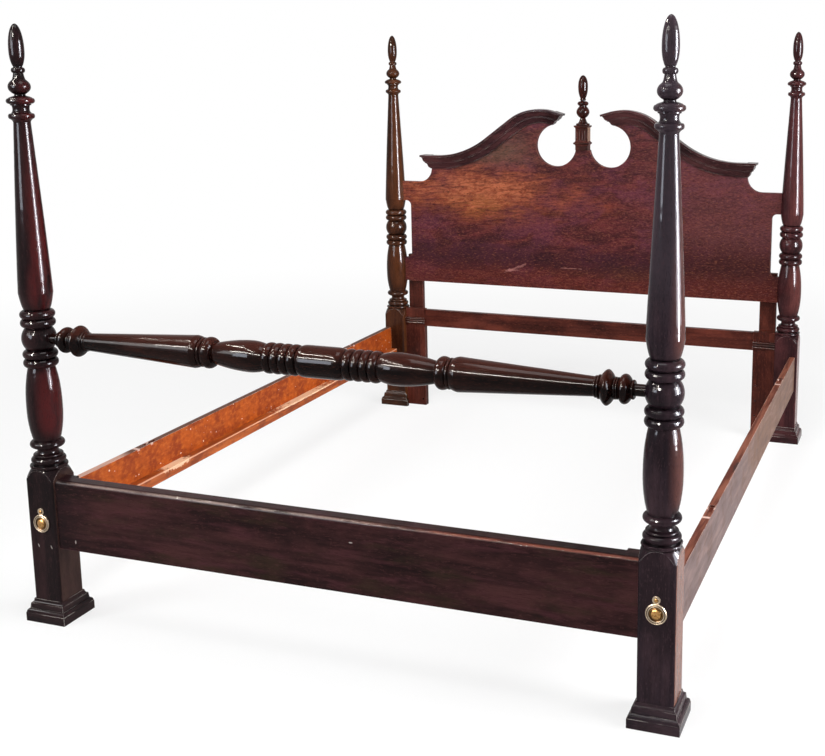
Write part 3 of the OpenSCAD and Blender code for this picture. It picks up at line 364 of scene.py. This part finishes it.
dress("foot_rail", polished_mahogany(
    "foot_rail", "X", (0.004, 0.002, 0.0025), (0.030, 0.011, 0.011), (0.068, 0.023, 0.023),
    heart=(-1.02, 0.10), ring=0.014, gloss=0.28, wear_and_glint=0.5, shine=0.05, stain=foot_rail_stain))


# --- blanket rail --------------------------------------------------------
# Turned in one length: a barrel between two groups of rings, vases, long
# tapers and knobs. Its bare tenons turn in the balls of the foot posts.

def blanket_top_light(f, so_far):
    """Red painted on the upper half, as painted light falling from above."""
    lit_red = (0.065, 0.015, 0.009)
    low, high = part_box("blanket_rail")
    axis_height = (low.z + high.z) / 2
    upper = (f.place()[2] - axis_height).between(0.004, 0.030)
    # Painted light: the upper half is painted red.
    return f.mix(upper * 0.55, so_far, lit_red)


dress("blanket_rail", polished_mahogany(
    "blanket_rail", "X", (0.0012, 0.0008, 0.001), (0.0065, 0.0024, 0.002), (0.034, 0.010, 0.007),
    heart=(-1.03, 0.78), ring=0.010, gloss=0.10, wear_and_glint=0.8, shine=0.09, stain=blanket_top_light))


# --- side rails ----------------------------------------------------------
# Thin boards hooked into the post blocks. Only the outer face is stained and
# polished; the inner face has one coat of orange shellac over mottled wood.

def shellac(f, x, y, z, blotch, mottle, streak):
    """The inner face: orange with brown blotches, redder streaks and a few pale flecks."""
    orange, brown, gold = (0.41, 0.074, 0.004), (0.220, 0.028, 0.002), (0.55, 0.140, 0.016)
    umber, shaded, red_streak = (0.150, 0.020, 0.002), (0.200, 0.030, 0.004), (0.20, 0.027, 0.003)
    colour = f.mix(blotch.between(0.40, 0.60) * 0.75, orange, brown)
    colour = f.mix(mottle.between(0.50, 0.66) * 0.5, colour, gold)
    colour = f.mix((1.0 - mottle.between(0.34, 0.50)) * 0.4, colour, umber)
    colour = f.mix(y.between(0.2, 0.95) * 0.35, colour, shaded)
    colour = f.mix(streak.between(0.52, 0.68) * 0.4, colour, red_streak)
    fleck = f.noise(f.vector(x, z, y), 110.0, 0.0).between(0.82, 0.85)
    return f.mix(fleck, colour, (0.85, 0.72, 0.55))


def worn_stain(f, x, y, z, blotch):
    """The outer face: greyer towards the foot of the bed, streaked, nicked at the bottom."""
    grey_brown, brown = (0.115, 0.070, 0.065), (0.130, 0.060, 0.033)
    russet, pale, dark = (0.080, 0.032, 0.016), (0.21, 0.130, 0.115), (0.060, 0.028, 0.024)
    figure = f.noise(f.vector(x, z, y * 0.16), 48.0, 5.0, 0.62, 0.4)
    warm = (y + (blotch - 0.5) * 1.2).between(-0.35, 0.15)
    colour = f.mix(warm, grey_brown, brown)
    colour = f.mix(blotch.between(0.50, 0.64) * 0.45, colour, russet)
    colour = f.mix(figure.between(0.50, 0.66) * 0.6, colour, pale)
    colour = f.mix((1.0 - figure.between(0.32, 0.50)) * 0.7, colour, dark)
    nick = f.noise(f.vector(x, z * 0.6, y), 45.0, 3.0).between(0.58, 0.66)
    return f.mix(nick * (1.0 - z.between(0.206, 0.240)), colour, (0.05, 0.02, 0.02))


def rail_finish(name, side):
    """The finish of the left rail, side -1, or of the right one, side 1."""
    outer_face, _, top_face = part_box("side_rail_right")[1]
    recess_floor = top_face - 0.006
    recess_middle, recess_half = 0.6485, 0.0315
    f = Finish(name, Specular_IOR_Level=0.07)
    x, y, z = f.place()
    fibre = f.noise(f.vector(x, z, y * 0.03), 420.0, 3.0, 0.6)
    blotch = f.noise(f.vector(x, z * 0.7, y), 15.0, 5.0, 0.62)
    mottle = f.noise(f.vector(x, z, y * 0.7), 75.0, 4.0, 0.6)
    streak = f.noise(f.vector(x, z, y * 0.08), 60.0, 3.0, 0.6)
    polished = (x * side).over(outer_face - 0.0006)
    colour = f.mix(polished, shellac(f, x, y, z, blotch, mottle, streak),
                   worn_stain(f, x, y, z, blotch))

    if side > 0:
        top = f.mix(streak.between(0.40, 0.60), (0.190, 0.062, 0.036), (0.075, 0.016, 0.008))
        chips = f.patch(y, x, (-0.285, 0.841), (0.055, 0.006), (mottle - 0.5) * 3.0, 0.3)
        top = f.mix(chips, top, (0.03, 0.012, 0.01))
    else:
        top = f.mix(y.between(-0.76, -0.70), (0.44, 0.25, 0.19), (0.085, 0.030, 0.016))
    on_top = z.over(top_face - 0.0005)
    colour = f.mix(on_top, colour, top)

    inside = 1.0 - polished
    # Painted shade inside the recesses in the top of the rail.
    recess_shade = z.over(recess_floor - 0.0005) * (1.0 - on_top) * (x * side).between(0.827, 0.828)
    colour = f.mix(recess_shade * inside, colour, (0.10, 0.018, 0.008))
    # Painted highlights on the arrises at both ends of each recess.
    ends = 1.0 - abs(abs(abs(y) - recess_middle) - recess_half).between(0.0045, 0.0065)
    colour = f.mix(ends * z.over(recess_floor + 0.0005) * inside, colour, (0.60, 0.40, 0.34))

    # Edges painted pale, partly as wear and partly as painted highlights.
    pale_edge = f.edge(0.002) * f.noise(f.vector(x, z, y * 0.5), 70.0, 3.0).between(0.34, 0.52)
    colour = f.mix(pale_edge * 0.8, colour, (0.72, 0.52, 0.44))
    roughness = 0.44 - polished * 0.06 + blotch * 0.15
    return f.close(Base_Color=colour, Roughness=roughness,
                   Normal=f.bump(fibre * 0.5 + blotch, 0.0006, 0.4, 0.001))


for side, where in ((-1, "left"), (1, "right")):
    dress("side_rail_" + where, rail_finish("side_rail_" + where, side))


# --- ledgers -------------------------------------------------------------
# Square strips glued and screwed to the rails, of the same orange wood. The
# upper inner arris is rubbed, and splintered where slats were dropped on it.

def ledger_finish(name, splinters):
    """splinters holds the middle, the half length and the depth of each."""
    brown, orange, dark = (0.24, 0.042, 0.004), (0.42, 0.095, 0.012), (0.14, 0.022, 0.003)
    pale_edge, torn = (0.72, 0.36, 0.22), (0.80, 0.52, 0.33)
    low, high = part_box("ledger_right")
    inner_face, top_face = low.x, high.z
    f = Finish(name, Specular_IOR_Level=0.12)
    x, y, z = f.place()
    streak = f.noise(f.vector(x, z, y * 0.06), 60.0, 4.0, 0.6)
    fibre = f.noise(f.vector(x, z, y * 0.03), 500.0, 3.0, 0.6)
    blotch = f.noise(f.vector(x, z, y * 0.6), 22.0, 4.0, 0.6)
    colour = f.mix(streak.between(0.3, 0.7), brown, orange)
    colour = f.mix(blotch.between(0.48, 0.62) * 0.6, colour, dark)
    jagged = f.noise(f.vector(x, z * 0.5, y), 95.0, 4.0, 0.7)
    arris = z.between(top_face - 0.0045, top_face - 0.0025)
    arris = arris * (1.0 - abs(x).between(inner_face + 0.0015, inner_face + 0.0045))
    colour = f.mix(arris * 0.8, colour, pale_edge)
    for along, reach, deep in splinters:
        splinter = f.patch(y, z, (along, top_face - 0.002), (reach, deep),
                           (jagged - 0.5) * 2.2, 0.25)
        colour = f.mix(splinter * 0.85, colour, torn)
    return f.close(Base_Color=colour, Roughness=0.45 + streak * 0.15,
                   Normal=f.bump(fibre, 0.0004, 0.4, 0.0012))


dress("ledger_left", ledger_finish("ledger_left", ((-0.53, 0.070, 0.010), (0.24, 0.22, 0.004))))
dress("ledger_right", ledger_finish("ledger_right", ((-0.15, 0.05, 0.006), (0.60, 0.14, 0.004))))


# --- rail hooks, pins and keepers ----------------------------------------
# Stamped steel hook plates let into kerfs in the ends of the rails, held by
# cross pins, and slotted keepers let into the post blocks. Brown tarnish.

def steel_finish():
    steel, rust, bright = (0.33, 0.32, 0.31), (0.13, 0.075, 0.045), (0.55, 0.54, 0.52)
    f = Finish("rail_steel", Metallic=1.0)
    x, y, z = f.place()
    tarnish = f.noise(f.vector(x, y, z), 90.0, 4.0, 0.65)
    colour = f.mix(tarnish.between(0.45, 0.7), steel, rust)
    colour = f.mix(f.edge(0.001), colour, bright)
    brushed = f.noise(f.vector(x, y, z * 0.05), 900.0, 2.0)
    return f.close(Base_Color=colour, Roughness=0.32 + tarnish * 0.3,
                   Normal=f.bump(brushed, 0.0002, 0.3, 0.0005))


rail_steel = steel_finish()
for piece in ("rail_hooks", "rail_pins", "rail_keepers"):
    dress(piece, rail_steel)


# --- headboard panel -----------------------------------------------------
# A broad mahogany board with swirling figure, cut out round two circles and
# slotted beside the posts. Orange at the upper left, partly fading and partly
# a painted reflection of warm light, plum towards the right, and dark along
# the foot.

def panel_stain(f, so_far):
    """Lays the figure, the orange places with their painted reflection, the dark ones, the grain
    and the scratches.
    """
    front_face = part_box("headboard_panel")[0].y
    x, y, z = f.place()
    lean = z - x * 0.07
    front = 1.0 - (y - front_face).between(0.002, 0.008)
    drift = f.noise(f.vector(x * 0.7, y, z), 6.0, 4.0, 0.6) - 0.5
    wash = f.noise(f.vector(x * 0.22, y, lean), 34.0, 6.0, 0.65, 0.5)
    swirl = f.noise(f.vector(x * 0.45, y, lean + 2.0), 60.0, 6.0, 0.7, 1.2)
    line = f.noise(f.vector(x * 0.12, y, lean + 4.0), 120.0, 5.0, 0.65, 0.5)
    grain = f.noise(f.vector(x * 0.40, y, z), 210.0, 4.0, 0.75, 1.0)

    wine, red, rose, plum_tone = ((0.024, 0.005, 0.007), (0.096, 0.018, 0.019),
                                  (0.150, 0.038, 0.034), (0.088, 0.020, 0.036))
    colour = f.mix(wash.between(0.36, 0.64), wine, red)
    colour = f.mix(swirl.between(0.52, 0.68) * 0.5, colour, rose)
    plum = f.noise(f.vector(x * 0.6, y, lean + 6.0), 11.0, 5.0, 0.6, 0.6).between(0.44, 0.62)
    colour = f.mix(plum * 0.7, colour, plum_tone)

    olive, rust, orange, amber = ((0.110, 0.066, 0.042), (0.215, 0.044, 0.016),
                                  (0.42, 0.125, 0.054), (0.160, 0.056, 0.008))
    hazy = f.patch(x, z, (-0.36, 1.075), (0.34, 0.095), drift * 2.0, 0.9)
    colour = f.mix(hazy * front * 0.6, colour, olive)
    # Orange at the upper left, in three layers: partly fading and partly a painted reflection of
    # warm light.
    fade_and_glare = f.patch(x, z, (-0.42, 0.905), (0.60, 0.165), drift * 1.8 + (line - 0.5), 0.9)
    colour = f.mix(fade_and_glare * front * 0.75, colour, rust)
    bright = f.patch(x, z, (-0.40, 0.915), (0.42, 0.115), drift * 2.0 + (line - 0.5) * 1.5, 0.9)
    colour = f.mix(bright * front * swirl.between(0.38, 0.60) * 0.85, colour, orange)
    golden = f.patch(x, z, (-0.40, 0.845), (0.42, 0.060), drift * 2.4 + (line - 0.5) * 3.0, 0.9)
    golden = golden * front * swirl.between(0.34, 0.56) * line.between(0.36, 0.60)
    colour = f.mix(golden * 0.7, colour, amber)

    patch_tone, band_tone, umber, foot_tone = ((0.026, 0.016, 0.009), (0.020, 0.0055, 0.010),
                                         (0.034, 0.009, 0.008), (0.078, 0.013, 0.008))
    # A dark patch low in the middle of the panel.
    dark_patch = f.patch(x, z, (0.17, 0.615), (0.36, 0.060), drift * 2.0 + (wash - 0.5), 0.9)
    colour = f.mix(dark_patch * 0.75, colour, patch_tone)
    level = z + drift * 0.12 + (wash - 0.5) * 0.10
    shadow = level.between(0.595, 0.630) * (1.0 - level.between(0.675, 0.760))
    colour = f.mix(shadow * 0.7, colour, band_tone)
    low_right = x.between(0.15, 0.55) * (1.0 - (z + drift * 0.3).between(0.66, 0.98))
    colour = f.mix(low_right * 0.85, colour, umber)
    foot = 1.0 - (z + drift * 0.06).between(0.55, 0.66)
    colour = f.mix(foot * 0.65, colour, foot_tone)

    dark_line, purple, dark_grain = ((0.024, 0.006, 0.008), (0.100, 0.034, 0.036),
                                     (0.016, 0.005, 0.005))
    pale = f.mix(x.between(0.0, 0.4), (0.27, 0.078, 0.048), (0.17, 0.060, 0.056))
    colour = f.mix(line.between(0.48, 0.66) * 0.45, colour, dark_line)
    colour = f.mix(x.between(0.10, 0.50) * z.between(0.66, 0.80) * 0.45, colour, purple)
    colour = f.mix(grain.between(0.52, 0.68) * (1.0 - shadow * 0.6) * 0.45, colour, pale)
    colour = f.mix((1.0 - grain.between(0.32, 0.50)) * 0.75, colour, dark_grain)

    for middle, reach, rise in (((-0.275, 0.612), (0.058, 0.007), 0.42),
                                ((-0.30, 0.600), (0.030, 0.006), 0.1),
                                ((-0.04, 0.620), (0.050, 0.003), 0.0)):
        leaning = z - (x - middle[0]) * rise
        scratch = f.patch(x, leaning, middle, reach, (swirl - 0.5) * 3.0, 0.5)
        colour = f.mix(scratch * front * 0.4, colour, (0.40, 0.17, 0.15))
    return colour


dress("headboard_panel", polished_mahogany(
    "headboard_panel", "X", (0.040, 0.011, 0.010), (0.115, 0.030, 0.022), (0.20, 0.06, 0.032),
    heart=(0.98, 0.55), ring=0.030, gloss=0.36, wear_and_glint=0.7, shine=0.01, stain=panel_stain))


# --- swan-neck mouldings -------------------------------------------------
# Cyma mouldings sawn from thick blanks and worked along the curve, then
# glued to the panel, each with a return at both ends.

# Its arrises are painted pale, partly as wear and partly as painted highlights.
swan_wood = polished_mahogany(
    "swan_neck", "X", (0.004, 0.0015, 0.002), (0.036, 0.012, 0.014), (0.090, 0.030, 0.030),
    heart=(0.95, 0.9), ring=0.016, gloss=0.18, wear_and_glint=1.0, ease=0.0016, arris=0.001,
    wear_and_glint_to=(0.34, 0.27, 0.24))
for where in ("left", "right"):
    dress("swan_neck_" + where, swan_wood)


# --- centre plinth and finial --------------------------------------------
# A small fluted block on the panel's tongue, with a ringed base and a cap,
# and a turned finial on a loose dowel.

def centre_stain(f, so_far):
    """Red in the flutes, and a painted sheen on the right side of the fluted stretch."""
    half_width, ring_top, cap_foot = 0.025, 1.125, 1.180
    flute_red, sheen_tone = (0.170, 0.020, 0.010), (0.34, 0.20, 0.14)
    x, _, z = f.place()
    colour = f.mix((1.0 - f.open_air(0.004).between(0.55, 0.95)) * 0.85, so_far, flute_red)
    under_cap = 1.0 - z.over(cap_foot - 0.0005)
    right_face_sheen = x.over(half_width - 0.0004) * under_cap * z.over(ring_top + 0.0005)
    # The right side is painted paler, a painted sheen.
    return f.mix(right_face_sheen * 0.8, colour, sheen_tone)


dress("centre_plinth", polished_mahogany(
    "centre_plinth", "Z", (0.008, 0.002, 0.001), (0.034, 0.009, 0.007), (0.090, 0.020, 0.012),
    heart=(0.05, 1.10), ring=0.009, gloss=0.34, wear_and_glint=0.9, shine=0.02, ease=0.0006, arris=0.0003,
    wear_and_glint_to=(0.30, 0.22, 0.19), stain=centre_stain))
dress("centre_finial", polished_mahogany(
    "centre_finial", "Z", (0.003, 0.001, 0.0008), (0.020, 0.0045, 0.0035), (0.085, 0.015, 0.009),
    heart=(0.05, 1.10), ring=0.009, gloss=0.12, wear_and_glint=0.7, shine=0.12, ease=0.0006, arris=0.0005))


# --- cross rail, leg boards, caps and stiles -----------------------------
# Behind the mattress: a cross rail tenoned into two leg boards, each with a
# reeded cap and bolt holes, and two stiles that hang the panel on them.

frame_wood = {}
for along, heart in (("X", (1.10, 0.30)), ("Z", (0.62, 1.12))):
    frame_wood[along] = polished_mahogany(
        "head_frame_" + along, along, (0.007, 0.002, 0.0015), (0.064, 0.015, 0.010),
        (0.140, 0.032, 0.020), heart=heart, ring=0.013, gloss=0.3, wear_and_glint=0.8, shine=0.05)
# The cap's reeds are painted near white at their arrises, as painted highlights with some wear.
cap_wood = polished_mahogany(
    "leg_cap", "X", (0.006, 0.002, 0.0015), (0.036, 0.010, 0.007), (0.085, 0.022, 0.014),
    heart=(1.10, 0.30), gloss=0.18, wear_and_glint=1.0, shine=0.12, ease=0.0016, arris=0.0008,
    wear_and_glint_to=(0.80, 0.70, 0.64))
dress("head_cross_rail", frame_wood["X"])
for where in ("left", "right"):
    dress("leg_board_" + where, frame_wood["Z"])
    dress("head_stile_" + where, frame_wood["Z"])
    dress("leg_cap_" + where, cap_wood)


# --- bolt covers ---------------------------------------------------------
# Round stamped brass covers that swing on a screw through their eye. The
# rings are polished bright by use and the hollows have gone dark.

def brass_finish():
    """Tarnished brass, with bright rings and dark grooves round the cover and its screw."""
    brass_tone, brown, polished = (0.36, 0.20, 0.07), (0.17, 0.08, 0.026), (0.36, 0.30, 0.23)
    hollow = (0.030, 0.016, 0.008)
    low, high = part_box("cover_screws")
    screw_height = (low.z + high.z) / 2
    cover_height = screw_height - 0.032
    f = Finish("bolt_brass", Metallic=1.0)
    x, y, z = f.place()
    tarnish = f.noise(f.vector(x, y, z), 240.0, 4.0, 0.6)
    aside = (abs(x) - post_x) ** 2.0
    from_middle = (aside + (z - cover_height) ** 2.0) ** 0.5
    from_screw = (aside + (z - screw_height) ** 2.0) ** 0.5
    colour = f.mix(tarnish.between(0.4, 0.65), brass_tone, brown)
    rim = from_middle.between(0.0160, 0.0168)
    ring = rim.maths("MINIMUM", from_screw.between(0.0042, 0.0050))
    colour = f.mix(ring * 0.8, colour, polished)
    for radius, width in ((0.0200, 0.0015), (0.0158, 0.0018), (0.0124, 0.0022)):
        groove = 1.0 - abs(from_middle - radius).between(width * 0.4, width)
        colour = f.mix(groove * 0.9, colour, hollow)
    round_screw = 1.0 - abs(from_screw - 0.0046).between(0.0004, 0.0010)
    colour = f.mix(round_screw * 0.9, colour, hollow)
    return f.close(Base_Color=colour, Roughness=0.20 + tarnish * 0.2,
                   Normal=f.bump(tarnish, 0.00005, 0.3, 0.0004))


brass = brass_finish()
for piece in ("bolt_cover_left", "bolt_cover_right", "cover_screws"):
    dress(piece, brass)


# --- floor, light and camera ---------------------------------------------
# A plain pale floor, a pale room, a broad window to the right, a softbox to
# the left front and one overhead, and the camera at the photograph's view.

white = (1.0, 1.0, 1.0, 1.0)


def seen(network):
    """1 to the camera, in reflections and through glass, and 0 where light falls."""
    rays = [network.node("ShaderNodeLightPath", output=f"Is {kind} Ray")
            for kind in ("Camera", "Glossy", "Transmission")]
    return rays[0].maths("MAXIMUM", rays[1]).maths("MAXIMUM", rays[2])


floor_mesh = bmesh.new()
bmesh.ops.create_grid(floor_mesh, x_segments=4, y_segments=4, size=40.0)
floor_data = bpy.data.meshes.new("floor")
floor_mesh.to_mesh(floor_data)
floor_mesh.free()
floor = bpy.data.objects.new("floor", floor_data)
bpy.context.scene.collection.objects.link(floor)

pale = Finish("floor_pale", Base_Color=(0.88, 0.88, 0.88, 1.0), Roughness=0.9,
              Specular_IOR_Level=0.1)
glow = pale.node("ShaderNodeEmission", None, {"Color": white, "Strength": 1.0})
across, back, _ = pale.place()
away = (across ** 2.0 + back ** 2.0) ** 0.5
share = seen(pale) * (0.72 + away.between(1.6, 5.0) * 0.28)
pale.end_with(pale.node("ShaderNodeMixShader", None,
                        [share, Shade(pale, pale.shader.outputs[0]), glow]))
floor_data.materials.append(pale.material)

world = bpy.data.worlds.new("room")
bpy.context.scene.world = world
world.use_nodes = True
world.node_tree.nodes.remove(world.node_tree.nodes["Background"])
room = Network(world.node_tree)
lit, shown = [room.node("ShaderNodeBackground", None, {"Color": white, "Strength": strength})
              for strength in (0.35, 1.0)]
room.end_with(room.node("ShaderNodeMixShader", None, [seen(room), lit, shown]))


def softbox(name, at, towards, wide, high, watts, tint=(1.0, 1.0, 1.0), sheen_only=False):
    """A rectangular lamp. One for sheen only is seen in the polish and lights nothing."""
    lamp = bpy.data.lights.new(name, "AREA")
    lamp.shape = "RECTANGLE"
    lamp.size, lamp.size_y, lamp.energy, lamp.color = wide, high, watts, tint
    box = bpy.data.objects.new(name, lamp)
    box.location = at
    box.rotation_euler = (Vector(towards) - Vector(at)).to_track_quat("-Z", "Y").to_euler()
    box.visible_camera = False
    box.visible_diffuse = not sheen_only
    bpy.context.scene.collection.objects.link(box)


softbox("window_right", (3.9, -0.6, 1.9), (0.0, 0.0, 0.6), 2.6, 1.5, 150)
softbox("softbox_left", (-3.2, -3.6, 2.2), (0.0, -0.2, 0.6), 1.2, 1.2, 90)
softbox("softbox_over", (0.3, -1.2, 3.9), (0.0, 0.2, 0.4), 1.6, 1.6, 90)
# Bright panes that only the polish shows, as streaks along the turnings
softbox("pane_right", (3.6, -0.75, 1.3), (0.0, -0.9, 0.9), 2.0, 1.8, 580,
        (0.86, 0.90, 1.0), True)
softbox("pane_core", (3.5, -0.80, 1.3), (0.0, -0.9, 0.9), 0.40, 2.0, 780,
        (0.95, 0.95, 1.0), True)
softbox("pane_left", (-1.9, -3.9, 1.6), (0.2, -1.0, 0.9), 1.3, 1.2, 200,
        (0.82, 0.89, 1.0), True)
softbox("pane_front", (-1.5, -4.4, 3.0), (0.0, -1.0, 0.8), 4.2, 0.12, 800,
        (1.0, 0.96, 0.88), True)
softbox("pane_over", (-1.8, -2.2, 3.4), (0.0, -1.0, 0.8), 3.6, 0.06, 340,
        (1.0, 0.94, 0.84), True)

# The camera's place in metres, and its turn, downward tilt and roll in degrees
eye = (1.3498, -3.502, 1.4541)
turn, tilt, roll = 19.12, 10.66, -0.198
view = bpy.data.cameras.new("photo_view")
view.lens, view.sensor_width = 53.03, 36.0
view.shift_x, view.shift_y = -0.1394, -0.1139
camera = bpy.data.objects.new("photo_view", view)
camera.matrix_world = (Matrix.Translation(eye)
                       @ Matrix.Rotation(math.radians(turn), 4, "Z")
                       @ Matrix.Rotation(math.radians(90 - tilt), 4, "X")
                       @ Matrix.Rotation(math.radians(roll), 4, "Z"))
bpy.context.scene.collection.objects.link(camera)
bpy.context.scene.camera = camera
bpy.context.scene.view_settings.view_transform = "Standard"
